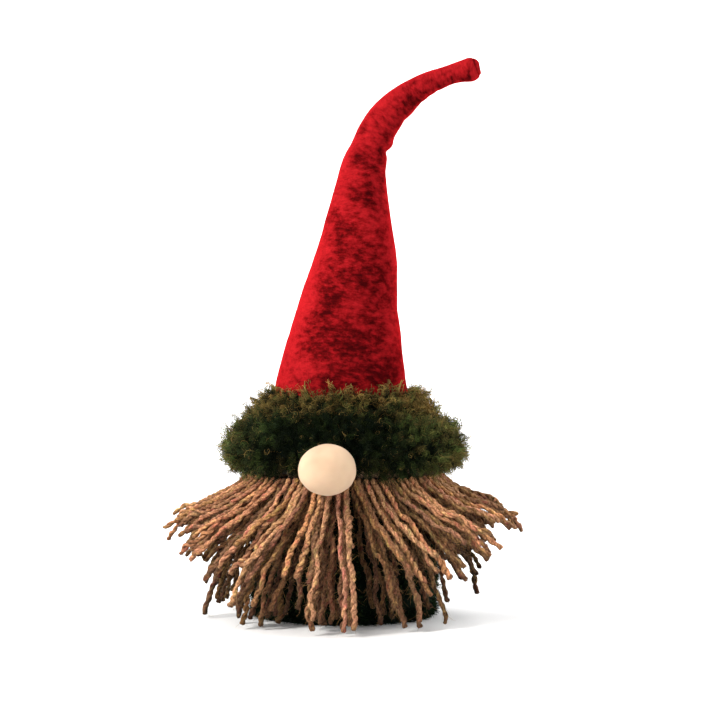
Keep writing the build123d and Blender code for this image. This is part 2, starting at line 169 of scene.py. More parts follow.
def tubes(points, radii, sides):
    """Closed tubes along polylines (K, n, 3) with radii (K, n).  Returns vertices, quads, triangles,
    the tube each vertex is on and how far along it is, 0 to 1."""
    count, n, _ = points.shape
    normal, binormal = frames_along(points)
    ring = around(ring_angles(sides), normal[:, :, None], binormal[:, :, None])
    ring = points[:, :, None] + radii[:, :, None, None] * ring
    verts = np.concatenate([ring.reshape(count, n * sides, 3), points[:, :1], points[:, -1:]], axis=1)
    quads, tris = closed_faces(n, sides)
    size = n * sides + 2
    base = (np.arange(count) * size)[:, None, None]
    along = np.concatenate([np.repeat(np.linspace(0, 1, n), sides), [0.0, 1.0]])
    return (
        verts.reshape(-1, 3),
        (base + quads[None]).reshape(-1, 4),
        (base + tris[None]).reshape(-1, 3),
        np.repeat(np.arange(count), size),
        np.tile(along, count),
    )


def noise(points, scale, seed):
    """Smooth noise, about -1 to 1, at points: a sum of random waves."""
    draw = np.random.default_rng(seed)
    waves = 14
    total = np.zeros(points.shape[:-1])
    for _ in range(waves):
        wave = draw.normal(size=points.shape[-1]) / scale
        total += np.sin(points @ wave * 2.2 + draw.uniform(0, 6.28))
    return total / waves * 1.9


def travelled(points):
    """Distance along a polyline at each of its points."""
    return np.concatenate([[0], np.cumsum(np.linalg.norm(np.diff(points, axis=0), axis=1))])


def evenly(points, travel, count):
    """Evenly spaced points on a polyline, and their distance along it."""
    at = np.linspace(0, travel[-1], count)
    return np.stack([np.interp(at, travel, column) for column in points.T], -1), at


def spline_through(stations, count):
    """Evenly spaced points on a smooth line through stations (Catmull-Rom), and their distance along it.
    Its first two columns are a place and the others go along with it."""
    padded = np.concatenate([2 * stations[:1] - stations[1:2], stations, 2 * stations[-1:] - stations[-2:-1]])
    rows = []
    for i in range(1, len(padded) - 2):
        p0, p1, p2, p3 = padded[i - 1:i + 3]
        for t in np.linspace(0, 1, 24, endpoint=False):
            rows.append(0.5 * (
                2 * p1 + (p2 - p0) * t + (2 * p0 - 5 * p1 + 4 * p2 - p3) * t ** 2
                + (3 * p1 - p0 - 3 * p2 + p3) * t ** 3
            ))
    rows.append(padded[-2])
    rows = np.array(rows)
    return evenly(rows, travelled(rows[:, :2]), count)


# ================================================================ materials
def nodes_of(name):
    """A new material, its node tree and its shader."""
    material = bpy.data.materials.new(name)
    material.use_nodes = True
    tree = material.node_tree
    return material, tree, tree.nodes["Principled BSDF"]


def set_inputs(node, **values):
    """Values of a node's sockets, with underscores for the spaces in their names."""
    for key, value in values.items():
        node.inputs[key.replace("_", " ")].default_value = value


def attribute_of(tree, name, output):
    node = tree.nodes.new("ShaderNodeAttribute")
    node.attribute_name = name
    return node.outputs[output]


def object_place(tree):
    return tree.nodes.new("ShaderNodeTexCoord").outputs["Object"]


def noise_of(tree, vector, scale, detail, roughness=0.5):
    node = tree.nodes.new("ShaderNodeTexNoise")
    set_inputs(node, Scale=scale, Detail=detail, Roughness=roughness)
    tree.links.new(vector, node.inputs["Vector"])
    return node.outputs["Fac"]


def stretched_noise(tree, vector, scale, detail, roughness=0.5):
    """Noise with its own scale along each axis."""
    node = tree.nodes.new("ShaderNodeMapping")
    set_inputs(node, Scale=scale)
    tree.links.new(vector, node.inputs["Vector"])
    return noise_of(tree, node.outputs["Vector"], 1.0, detail, roughness)


def ramp(tree, source, stops):
    """Colours at places of a ramp from 0 to 1."""
    node = tree.nodes.new("ShaderNodeValToRGB")
    elements = node.color_ramp.elements
    while len(elements) < len(stops):
        elements.new(0.5)
    for element, (position, colour) in zip(elements, stops):
        element.position = position
        element.color = (*colour, 1)
    tree.links.new(source, node.inputs["Fac"])
    return node.outputs["Color"]


def multiply_add(tree, value, factor, more):
    """value * factor + more."""
    node = tree.nodes.new("ShaderNodeMath")
    node.operation = "MULTIPLY_ADD"
    tree.links.new(value, node.inputs[0])
    node.inputs[1].default_value = factor
    tree.links.new(more, node.inputs[2])
    return node.outputs["Value"]


def colour_product(tree, shader, a, b):
    """The product of two colours as the shader's colour."""
    node = tree.nodes.new("ShaderNodeMix")
    node.data_type = "RGBA"
    node.blend_type = "MULTIPLY"
    set_inputs(node, Factor=1.0)
    tree.links.new(a, node.inputs["A"])
    tree.links.new(b, node.inputs["B"])
    tree.links.new(node.outputs["Result"], shader.inputs["Base Color"])


def bump(tree, shader, height, strength, distance):
    node = tree.nodes.new("ShaderNodeBump")
    set_inputs(node, Strength=strength, Distance=distance)
    tree.links.new(height, node.inputs["Height"])
    tree.links.new(node.outputs["Normal"], shader.inputs["Normal"])


def felt_red():
    """Napped felt: bright red, with fine dark streaks round the cone, closer where the nap is crushed and
    where painted shade darkens it.
    """
    material, tree, shader = nodes_of("red_felt")
    cloth = attribute_of(tree, "cloth", "Vector")
    streaks = stretched_noise(tree, cloth, (230.0, 420.0, 230.0), 6.0, 0.66)
    patches = stretched_noise(tree, cloth, (60.0, 85.0, 60.0), 2.0)
    fibres = stretched_noise(tree, cloth, (700.0, 1500.0, 700.0), 3.0, 0.7)
    level = multiply_add(tree, patches, 0.55, streaks)
    # the tint attribute darkens the felt: crushed nap, and painted shade
    level = multiply_add(tree, attribute_of(tree, "tint", "Fac"), -0.26, level)
    base = ramp(tree, level, [
        (0.36, (0.038, 0.0018, 0.0024)), (0.48, (0.104, 0.0030, 0.0040)), (0.58, (0.210, 0.0055, 0.0072)),
        (0.68, (0.288, 0.0080, 0.0105)), (0.82, (0.360, 0.0105, 0.0135)),
    ])
    fine = ramp(tree, fibres, [(0.3, (0.70, 0.70, 0.70)), (0.7, (1.15, 1.15, 1.15))])
    colour_product(tree, shader, base, fine)
    set_inputs(
        shader, Roughness=0.95, Specular_IOR_Level=0.0, Sheen_Weight=0.55, Sheen_Roughness=0.4,
        Sheen_Tint=(1.0, 0.015, 0.02, 1),
    )
    bump(tree, shader, fibres, 0.4, 0.0004)
    return material


def tinted(name, roughness):
    """Fibre that takes its colour from the tint attribute, with a little noise."""
    material, tree, shader = nodes_of(name)
    specks = noise_of(tree, object_place(tree), 900.0, 2.0)
    shade = ramp(tree, specks, [(0.3, (0.78, 0.78, 0.78)), (0.7, (1.2, 1.2, 1.2))])
    colour_product(tree, shader, attribute_of(tree, "tint", "Color"), shade)
    set_inputs(shader, Roughness=roughness, Specular_IOR_Level=0.05)
    return material


def yarn_material():
    """Plied jute-like yarn: fibres run along each ply, with heathered patches and painted shade from the
    tint.
    """
    material, tree, shader = nodes_of("jute_yarn")
    ply = attribute_of(tree, "ply", "Vector")
    fibre = stretched_noise(tree, ply, (1000.0, 1900.0, 1000.0), 4.0, 0.65)
    shade = ramp(tree, fibre, [
        (0.32, (0.26, 0.22, 0.20)), (0.44, (0.72, 0.68, 0.65)), (0.56, (1.14, 1.12, 1.08)),
        (0.70, (2.00, 1.94, 1.78)),
    ])
    colour_product(tree, shader, attribute_of(tree, "tint", "Color"), shade)
    set_inputs(
        shader, Roughness=0.85, Specular_IOR_Level=0.1, Sheen_Weight=0.1, Sheen_Tint=(1.0, 0.8, 0.55, 1),
    )
    bump(tree, shader, fibre, 0.8, 0.00035)
    return material


def nose_material():
    """Smooth felted wool: warm cream, faintly mottled, with soft scattering."""
    material, tree, shader = nodes_of("nose_wool")
    place = object_place(tree)
    broad = noise_of(tree, place, 70.0, 2.0)
    fine = noise_of(tree, place, 1500.0, 3.0, 0.7)
    colour = ramp(tree, broad, [(0.35, (0.53, 0.360, 0.240)), (0.65, (0.61, 0.440, 0.295))])
    tree.links.new(colour, shader.inputs["Base Color"])
    set_inputs(
        shader, Roughness=0.75, Specular_IOR_Level=0.2, Subsurface_Weight=0.25, Subsurface_Scale=1.0,
        Subsurface_Radius=(0.004, 0.002, 0.001), Sheen_Weight=0.12, Sheen_Tint=(1.0, 0.75, 0.55, 1),
    )
    bump(tree, shader, fine, 0.25, 0.00025)
    return material


def noisy(name, dark, light, scale, roughness=0.9, grain=0.0003, sheen=0.0, metallic=0.0):
    """A plain material with two tones mixed by noise, and grain metres of bump."""
    material, tree, shader = nodes_of(name)
    texture = noise_of(tree, object_place(tree), scale, 4.0)
    tree.links.new(ramp(tree, texture, [(0.35, dark), (0.65, light)]), shader.inputs["Base Color"])
    set_inputs(shader, Roughness=roughness, Metallic=metallic, Sheen_Weight=sheen)
    if grain:
        bump(tree, shader, texture, 0.5, grain)
    return material


RED_FELT = felt_red()
YARN = yarn_material()
HAIR = tinted("yarn_hairs", 0.8)
PILE = tinted("curly_pile", 0.8)
PLUSH = tinted("green_plush", 0.9)
WOOL = nose_material()
DARK_CLOTH = noisy("dark_green_cloth", (0.004, 0.007, 0.004), (0.012, 0.018, 0.009), 500.0)
RED_THREAD = noisy("red_thread", (0.06, 0.004, 0.005), (0.16, 0.01, 0.012), 900.0)
DARK_THREAD = noisy("dark_thread", (0.01, 0.009, 0.006), (0.035, 0.03, 0.02), 900.0)
BASE_FELT = noisy("base_felt", (0.006, 0.012, 0.006), (0.018, 0.028, 0.014), 700.0, sheen=0.2)
CARD = noisy("stiff_card", (0.30, 0.23, 0.15), (0.42, 0.33, 0.23), 300.0)
CALICO = noisy("calico_pouch", (0.5, 0.47, 0.4), (0.62, 0.6, 0.52), 600.0)
FIBRE = noisy("fibre_filling", (0.7, 0.7, 0.68), (0.85, 0.85, 0.83), 200.0)
WIRE = noisy("bare_wire", (0.35, 0.35, 0.36), (0.5, 0.5, 0.5), 800.0, 0.35, 0.00005, metallic=1.0)
BUTTON = noisy("shirt_button", (0.25, 0.17, 0.1), (0.36, 0.26, 0.16), 300.0, 0.3, 0.0)
JUTE_KNOT = noisy("jute_knot", (0.06, 0.035, 0.02), (0.2, 0.12, 0.065), 1200.0, 0.9, 0.0004)

NODE_MATERIALS = {
    "hat_seam_lower": RED_THREAD, "hat_seam_middle": RED_THREAD, "tip_stitch": RED_THREAD,
    "header_tape": DARK_CLOTH, "header_cord": DARK_THREAD,
    "header_stitches": DARK_THREAD, "neck_tie": DARK_THREAD, "nose_thread": DARK_THREAD,
    "base_felt": BASE_FELT, "base_card": CARD, "weight_pouch": CALICO, "body_filling": FIBRE,
    "hat_filling_lower": FIBRE, "hat_filling_middle": FIBRE, "hat_wire_lower": WIRE,
    "hat_wire_middle": WIRE, "hat_wire_tip": WIRE, "nose_button": BUTTON,
}
for name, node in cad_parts.items():
    material = JUTE_KNOT if name.startswith("beard_knot") else NODE_MATERIALS.get(name, DARK_CLOTH)
    node.data.materials.clear()
    node.data.materials.append(material)


# ================================================================ beard routes
# Locks count from 0 at the front, negative to -X.  The routes of the CAD model's strands are worked out
# here by the rule that the CAD model uses: three layers of strands to a lock, from the inside out.
LOCKS_EACH_SIDE = 5
LOCK_STEP = 20.0                   # degrees from one lock to the next
LAYERS = 3
STRANDS_PER_LAYER = 4
STRAND_PITCH = 4.4                 # degrees
LAYER_SHIFT = [-1.3, 0.0, 1.3]     # degrees
LAYER_ROOT = [(43.0, 71.1), (46.2, 70.6), (49.4, 71.1)]
RUNS = [7.0, 11.0, 13.0, 13.0, 12.0, 11.0, 9.0]
# how steeply each run goes down in each layer, at the front and at the sides
FRONT_SLOPES = [
    [84, 79, 75, 75, 78, 80, 82], [80, 69, 63, 65, 71, 75, 78], [76, 60, 53, 56, 65, 72, 76],
]
SIDE_SLOPES = [
    [80, 68, 60, 62, 70, 76, 80], [66, 50, 43, 48, 58, 66, 72], [52, 29, 20, 28, 45, 58, 66],
]
FLARE_ANGLE = 45.0                 # how far from the front the side slopes take over
SWEEP = [9.0, 17.0, 25.0]          # degrees that each layer leans away from the front
SWEEP_ANGLE = 36.0
SPREAD = [0.0, 0.12, 0.3, 0.52, 0.74, 0.9, 1.0, 1.0]
ACROSS = [0.0, 0.3, 0.5, 0.6, 0.6, 0.6, 0.6]
LOWEST_LINE = 2.2
RIGHT_RAISED = 7.0
END_RISE = 10.0                    # a strand may end this much above the lowest line
LOW_FRONT = (-52, 12)              # degrees between which strands end lower than that
REACH_FRONT = [71.0, 77.0, 83.0]
REACH_SIDE = [72.0, 81.0, 92.5]
SHORTEST_RUN = 3.0
# how the yarn strays from that layout: at the tips, in millimetres
WANDER = [1.6, 2.8, 4.0]
TIP_DROOP = 5.5
DROOP_FROM, DROOP_OVER = 64.0, 28.0
# how far each lock draws together towards its middle, beyond its own random share
CLUMPING = {
    -5: -0.35, -4: -0.3, -3: -0.2, -2: 0.05, -1: 0.30, 0: 0.30, 1: 0.65, 2: 0.15, 3: -0.3, 4: -0.35,
    5: -0.35,
}
FILL_IN = [0.2, 0.5, 0.8, 1.1, 1.4, 1.6, 1.8, 1.9]      # layers where more strands lie in between


def polar(radius, degrees, z):
    """Point at a radius and an angle counted from the front (-Y) towards +X."""
    angle = math.radians(degrees)
    return (radius * math.sin(angle), -radius * math.cos(angle), z)


def sideways(angle):
    """Share of the sweep that a strand rooted at an angle takes: none at the front, less at the back."""
    size = abs(angle)
    share = math.sin(math.radians(90.0 * min(size / SWEEP_ANGLE, 1.0)))
    share *= 1.0 - 0.65 * max(0.0, size - SWEEP_ANGLE) / 76.0
    return math.copysign(share, angle)


def between(rows, layer):
    """A row of a table of the three layers, or a mix of two rows for a strand that lies between."""
    low = min(int(layer), 1)
    return np.array(rows[low]) * (1 - layer + low) + np.array(rows[low + 1]) * (layer - low)


def strand_route(number, offset, layer, lift, gather, raised, draw, stray):
    """Route of one strand, in millimetres: outwards and down from the header cord.  draw is the CAD
    model's own chance, and stray moves the yarn off its even layout by a little."""
    lock_angle = number * LOCK_STEP
    angle = lock_angle + offset
    flare = 1.0 - math.exp(-((angle / FLARE_ANGLE) ** 2))
    sweep_angle = between(SWEEP, layer) * sideways(angle)
    front_slopes, side_slopes = between(FRONT_SLOPES, layer), between(SIDE_SLOPES, layer)
    wander = between(WANDER, layer)
    low_front = 0.35 if LOW_FRONT[0] < angle < LOW_FRONT[1] else 1.0
    end_z = LOWEST_LINE + raised + END_RISE * low_front * draw.random() ** 2
    reach = between(REACH_FRONT, layer) * (1 - flare) + between(REACH_SIDE, layer) * flare
    reach -= 9.0 * draw.random() ** 1.4 + 7.0 * flare * stray.random()
    rise = lift + draw.uniform(-2.0, 2.0)
    radius, z = between(LAYER_ROOT, layer)
    points = [polar(radius, angle, z)]
    gathered = min(0.85, gather + CLUMPING[number] * (1.0 if layer else 0.4))
    drift_across, drift_up = stray.uniform(-1, 1) * wander, stray.uniform(-0.6, 1) * wander
    for step, length in enumerate(RUNS):
        front, side = front_slopes[step], side_slopes[step]
        slope = front + (side - front) * flare - rise * min(step, 3) / 3
        slope = math.radians(slope + draw.uniform(-1.0, 1.0) * min(step, 1))
        across = ACROSS[step] * draw.uniform(-1, 1)
        length = min(length, (z - end_z) / math.sin(slope), (reach - radius) / math.cos(slope))
        if length < SHORTEST_RUN:
            break
        radius += length * math.cos(slope)
        z -= length * math.sin(slope)
        share = SPREAD[step + 1]
        turned = lock_angle + offset * (1.0 - gathered * share) + sweep_angle * share
        across += drift_across * share + 0.9 * min(step, 1) * stray.uniform(-1, 1)
        raise_by = drift_up * share + 0.8 * min(step, 1) * stray.uniform(-1, 1)
        raise_by -= TIP_DROOP * flare * max(0.0, (radius - DROOP_FROM) / DROOP_OVER) ** 2
        turned += math.degrees(across / radius)
        points.append(polar(radius, turned, max(z + raise_by, LOWEST_LINE)))
    return points


def lock_routes(number):
    """Routes of the strands of one lock, layer by layer."""
    draw, stray = random.Random(1055 + number), random.Random(60 + number)
    lift = draw.uniform(-3.0, 4.0) + (6.0 if number >= 3 else 0.0)
    gather = draw.uniform(0.1, 0.35)
    raised = RIGHT_RAISED if number >= 2 else 0.0
    routes = []
    for layer in range(LAYERS):
        for place in range(STRANDS_PER_LAYER):
            offset = (place - (STRANDS_PER_LAYER - 1) / 2) * STRAND_PITCH + LAYER_SHIFT[layer]
            routes.append(strand_route(number, offset, layer, lift, gather, raised, draw, stray))
    return routes


def fill_in_routes(number):
    """Routes of the strands that lie between and on those of one lock."""
    stray = random.Random(160 + number)
    lift = 2.0 + (6.0 if number >= 3 else 0.0)
    routes = []
    for place, layer in enumerate(FILL_IN):
        raised = RIGHT_RAISED if number >= 3 or (number == 2 and layer > 1.3) else 0.0
        offset = 9.0 * math.sin(2.4 * place + number) + stray.uniform(-1.2, 1.2)
        high = 17.0 * stray.random() if layer > 1.7 else 0.0
        routes.append(strand_route(number, offset, layer, lift + high, 0.2, raised, stray, stray))
    return routes


def lock_name(number):
    if number == 0:
        return "front"
    return f"{'left' if number < 0 else 'right'}_{abs(number)}"


def route_lines(routes):
    """Smooth lines, in metres, of NURBS splines whose control points are the routes."""
    curve = bpy.data.curves.new("routes", "CURVE")
    curve.dimensions = "3D"
    curve.resolution_u = 16
    for points in routes:
        spline = curve.splines.new("NURBS")
        spline.points.add(len(points) - 1)
        for place, (x, y, z) in zip(spline.points, points):
            place.co = (x * MM, y * MM, z * MM, 1)
        spline.order_u = 3
        spline.use_endpoint_u = True
    holder = bpy.data.objects.new("routes", curve)
    mesh = bpy.data.meshes.new_from_object(holder)
    co = np.array([v.co for v in mesh.vertices])
    linked = {tuple(sorted(e.vertices)) for e in mesh.edges}
    lines, start = [], 0
    for i in range(len(co)):
        if (i, i + 1) not in linked:
            lines.append(co[start:i + 1])
            start = i + 1
    bpy.data.objects.remove(holder)
    bpy.data.curves.remove(curve)
    bpy.data.meshes.remove(mesh)
    return lines


def resampled(line, step):
    """Points evenly spaced along a line, and their distance along it."""
    travel = travelled(line)
    return evenly(line, travel, max(8, int(round(travel[-1] / step)) + 1))


# ================================================================ yarn strands
PLY_SIDES = 9
PLY_RING = ring_angles(PLY_SIDES)
PLY_APART = 0.40                   # from the strand's line to a ply's line
PLY_R = 0.87
YARN_STEP = 0.48                   # length of one row of faces
YARN_CLEARANCE = 1.9               # lowest height of a strand's line
TAN = np.array([0.272, 0.138, 0.069])
PINK = np.array([0.310, 0.105, 0.066])
GOLD = np.array([0.400, 0.245, 0.095])
OLIVE = np.array([0.150, 0.118, 0.042])
SHADE = np.array([0.080, 0.036, 0.016])
LAYER_TONE = [0.34, 0.79, 1.68]    # the inner strands are in the others' shade
HAIR_STEPS = 5
LONGEST_HAIR = 6.5
MOST_CORDS = 40
SHORTEST_CORD = 34.0


def yarn_tint(along_mm, ply, seed, tone_by):
    """Heathered colour along a ply: patches of tan, pink, gold and olive, darker at the cut end."""
    draw = np.random.default_rng(5000 + seed)
    place = np.stack([along_mm, np.full_like(along_mm, 9.0 * ply), np.full_like(along_mm, 3.7 * seed)], -1)
    a = noise(place, 2.8, 71)
    b = noise(place, 2.0, 72)
    c = noise(place, 3.6, 73)
    tone = np.repeat(TAN[None], len(along_mm), 0)
    for share, start, field, colour in (
        (0.8, 0.1, a, PINK), (0.7, 0.1, -b, GOLD), (0.6, 0.25, c, OLIVE), (0.7, 0.2, -c, SHADE),
    ):
        tone = tone + share * smoothstep(start, 0.9, field)[:, None] * (colour - TAN)
    tone = tone * (1 - 0.4 * bell(along_mm[-1] - along_mm, 2.2))[:, None]
    hue = np.array([1.0, draw.uniform(0.88, 1.06), draw.uniform(0.82, 1.15)])
    return np.clip(tone * hue * tone_by * draw.uniform(0.5, 1.3), 0.004, 0.9)


def yarn(line, seed, layer):
    """One two-ply strand along a line in metres: arrays of its mesh and its wavy centreline."""
    draw = np.random.default_rng(9000 + seed)
    centre, at = resampled(line, YARN_STEP * MM)
    normal, binormal = frame_along(centre)
    mm = at / MM
    from_end = mm[-1] - mm
    # the strand's own waves, none at its root
    ease = smoothstep(0.0, 12.0, mm)
    phase = draw.uniform(0, 6.28, 6)
    bend = 0.30 * np.sin(mm / draw.uniform(1.5, 2.1) + phase[0])
    bend += 0.75 * np.sin(mm / draw.uniform(3.0, 4.4) + phase[1]) + 0.16 * np.sin(mm / 0.85 + phase[4])
    other = 0.26 * np.sin(mm / draw.uniform(1.5, 2.3) + phase[2])
    other += 0.7 * np.sin(mm / draw.uniform(3.0, 4.8) + phase[3]) + 0.16 * np.sin(mm / 0.95 + phase[5])
    centre = centre + MM * ((ease * bend)[:, None] * normal + 0.7 * (ease * other)[:, None] * binormal)
    centre[:, 2] = np.maximum(centre[:, 2], YARN_CLEARANCE * MM)
    normal, binormal = frame_along(centre)
    # the twist of its two plies, which come loose near an open end
    open_end = draw.random() < 0.3
    loosened = draw.uniform(0.2, 0.45) * smoothstep(0.45, 0.85, mm / mm[-1]) * (1.0 if open_end else 0.1)
    pitch = draw.uniform(6.6, 10.5)
    twist = draw.uniform(0, 6.28) + FULL_TURN * mm / pitch + 0.5 * np.sin(mm / 3.1 + phase[0])
    thick = draw.uniform(0.9, 1.08) * (
        1 + 0.09 * np.sin(mm / 2.3 + phase[1]) + 0.06 * np.sin(mm / 0.9 + phase[2])
    )
    rows = len(mm)
    quads, tris = closed_faces(rows, PLY_SIDES)
    parts = []
    for ply in range(2):
        turn = twist + math.pi * ply
        apart = PLY_APART * thick + loosened * (1 + 0.4 * np.sin(mm / 1.7 + phase[3] + ply))
        if open_end:
            apart = apart * (1 - 0.35 * bell(from_end, 2.5))
        away = around(turn, normal, binormal)
        core = centre + MM * apart[:, None] * away
        n1, b1 = frame_along(core)
        radius = PLY_R * thick * (1 + 0.09 * np.sin(mm * 1.9 + 5 * ply)) * (1 + 0.2 * bell(from_end, 1.5))
        radius = radius * np.where(from_end < 0.3, 0.78, 1.0)
        lumps = 1 + 0.06 * np.sin(3 * PLY_RING[None] + mm[:, None] * 1.3)
        lumps = lumps + 0.055 * draw.normal(size=(rows, PLY_SIDES))
        ring = around(PLY_RING, n1[:, None], b1[:, None])
        # shade: dark in the groove between the plies, and where a ply faces the body or the floor
        outward = (ring * away[:, None]).sum(-1)
        lit = (ring * (unit(centre * [1, 1, 0]) + [0, 0, 0.7])[:, None]).sum(-1)
        shade = 0.66 + 0.34 * smoothstep(-0.7, 0.3, outward)
        shade = shade * (0.36 + 0.64 * smoothstep(-0.75, 0.75, lit))
        ring = core[:, None] + MM * (radius[:, None] * lumps)[:, :, None] * ring
        cap = core[-1:] + (core[-1:] - core[-2:-1]) * 0.5
        verts = np.concatenate([ring.reshape(-1, 3), core[:1], cap])
        tone = yarn_tint(mm, ply, seed, np.interp(layer, range(LAYERS), LAYER_TONE))
        tone = np.concatenate([np.repeat(tone, PLY_SIDES, 0) * shade.reshape(-1, 1), tone[:1], tone[-1:]])
        # where the fibres' noise is read: along the ply and round it, apart from the other plies
        mapped = stacked(
            mm[:, None] * MM, np.cos(PLY_RING) * 0.8 * MM + 0.03 * seed * MM,
            np.sin(PLY_RING) * 0.8 * MM + 7 * MM * ply,
        )
        mapped = np.concatenate([mapped.reshape(-1, 3), mapped[0, :1], mapped[-1, :1]])
        parts.append((verts, quads, tris, tone, mapped))
    return join_parts(parts), centre


def join_parts(parts):
    """One set of arrays from several (vertices, quads, triangles, tint, ply) sets."""
    base = np.cumsum([0] + [len(part[0]) for part in parts[:-1]])
    verts, quads, tris, tints, plies = zip(*parts)
    quads = [faces + first for faces, first in zip(quads, base)]
    tris = [faces + first for faces, first in zip(tris, base)]
    return tuple(np.concatenate(x) for x in (verts, quads, tris, tints, plies))


def yarn_piece(name, arrays, body):
    verts, quads, tris, tint, ply = arrays
    piece = mesh_piece(name, verts, quads, tris, YARN)
    paint_tint(piece, tint)
    paint_vector(piece, "ply", ply)
    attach(piece, body)
    return piece


def stray_hairs(name, centres, seed, per_strand, body):
    """Fine hairs that stand off the strands with these centrelines."""
    draw = np.random.default_rng(seed)
    starts, headings = [], []
    for centre in centres:
        tangent = unit(np.gradient(centre, axis=0))
        at = (len(centre) * draw.uniform(0.05, 1.0, per_strand)).astype(int)
        side = unit(np.cross(tangent[at], draw.normal(size=(per_strand, 3))))
        starts.append(centre[at] + side * draw.uniform(0.9, 1.3, (per_strand, 1)) * MM)
        way = draw.choice([-1, 1], (per_strand, 1), p=[0.25, 0.75])
        headings.append(unit(tangent[at] * way * draw.uniform(0.5, 1.8, (per_strand, 1)) + side))
    starts, headings = np.concatenate(starts), np.concatenate(headings)
    count = len(starts)
    t = np.linspace(0, 1, HAIR_STEPS)[None, :, None]
    length = (1.0 + (LONGEST_HAIR - 1.0) * draw.random((count, 1, 1)) ** 3) * MM
    bend = unit(draw.normal(size=(count, 3)))[:, None] * draw.uniform(0.2, 0.9, (count, 1, 1))
    points = starts[:, None] + length * (headings[:, None] * t + bend * t * t * 0.6)
    points[..., 2] = np.maximum(points[..., 2], 0.4 * MM)
    radii = np.linspace(0.06, 0.025, HAIR_STEPS)[None] * draw.uniform(0.7, 1.3, (count, 1)) * MM
    verts, quads, tris, owner, _ = tubes(points, radii, 3)
    tone = (TAN + (GOLD - TAN) * draw.random((count, 1))) * draw.uniform(0.5, 1.3, (count, 1))
    hairs = mesh_piece(name, verts, quads, tris, HAIR)
    paint_tint(hairs, tone[owner])
    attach(hairs, body)


def build_beard():
    numbers = range(-LOCKS_EACH_SIDE, LOCKS_EACH_SIDE + 1)
    in_cad = LAYERS * STRANDS_PER_LAYER
    outer = range(in_cad - STRANDS_PER_LAYER, in_cad)
    layers = [place // STRANDS_PER_LAYER for place in range(in_cad)] + FILL_IN
    routes = {n: lock_routes(n) for n in numbers}
    for n in numbers:
        routes[n] += fill_in_routes(n)
    lines = iter(route_lines([points for n in numbers for points in routes[n]]))
    strands = []
    for n in numbers:
        for place, layer in enumerate(layers):
            arrays, centre = yarn(next(lines), (n + LOCKS_EACH_SIDE + 1) * len(layers) + place, layer)
            strands.append((n, place, arrays, centre))
    # of the outer strands, those that go furthest are pieces of their own
    reach = [np.hypot(c[-1, 0], c[-1, 1]) + 0.4 * abs(c[-1, 0]) for _, _, _, c in strands]
    length = [np.linalg.norm(np.diff(c, axis=0), axis=1).sum() for _, _, _, c in strands]
    order = [i for i in np.argsort(reach)[::-1] if length[i] > SHORTEST_CORD * MM and strands[i][1] in outer]
    cords = order[:MOST_CORDS]
    for n in numbers:
        name = lock_name(n)
        body = "figure" if n == 0 else f"beard_{name}"
        rest, centres = [], []
        for i, (lock, place, arrays, centre) in enumerate(strands):
            if lock != n:
                continue
            centres.append(centre)
            if i in cords:
                piece = yarn_piece(f"strand_{name}_{place}", arrays, body)
            else:
                rest.append(arrays)
        piece = yarn_piece(f"beard_{name}_strands", join_parts(rest), body)
        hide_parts(f"beard_lock_{name}")
        stray_hairs(f"beard_{name}_hairs", centres, 400 + n, 100 if n >= 2 else 75, body)


build_beard()

# ================================================================ hat
# x, z, outer radius along the hat's middle line
HAT_LINE = np.array([
    (-1.0, 78.0, 47.0), (-1.0, 86.0, 44.4), (-1.0, 96.0, 40.0), (-1.1, 106.0, 35.9), (-1.0, 116.0, 33.4),
    (0.2, 131.0, 30.7), (1.6, 144.2, 27.9), (2.9, 155.4, 25.4), (4.8, 167.0, 23.2), (6.6, 181.4, 20.6),
    (7.6, 197.6, 17.0), (8.9, 213.9, 13.7), (10.2, 226.4, 11.4), (12.8, 234.4, 10.0), (16.4, 243.6, 9.3),
    (22.4, 252.4, 8.8), (31.0, 260.6, 7.6), (41.6, 267.6, 6.0), (52.4, 271.9, 5.0), (58.6, 273.7, 5.3),
    (63.6, 274.7, 6.1),
])
HAT_ROWS = 470
AROUND = 168
SPLIT_Z = 190.0                    # where the lower felt piece meets the upper one
TURNED_IN_ROWS = 26                # rows of felt that fold in at the hat's edge
FELT_THICKNESS = 2.3
DEEPEST_CREASE = 66.0
# creases on the inside of the bends: distance from the hat's end, depth, width
CREASES = [
    (DEEPEST_CREASE, 1.5, 1.9), (60.5, -0.9, 3.2), (72.5, -0.5, 3.0), (44.0, 0.5, 2.2), (37.5, -0.35, 3.0),
    (30.0, 0.3, 1.8), (24.5, 0.25, 1.4), (19.0, 0.3, 1.2),
]
SEAM_W = 1.3
SEAM_LIP = 2.6                     # from the seam to the middle of the lip beside it
SEAM_FROM_Z = 100.0
STITCH_PITCH = 3.4
STITCH_REACH = 1.9                 # on each side of the seam
STITCH_SLANT = 0.9
STITCH_R = 0.34
END_RINGS = 40
END_BULGE = 6.0
END_DIP = 1.2
END_TURN = 10.5                    # radians that the sewn swirl turns through
# the side where the nap is crushed and painted shade darkens the felt: the front right, away from the light
CRUSHED_SHADED_SIDE = math.radians(66.0)


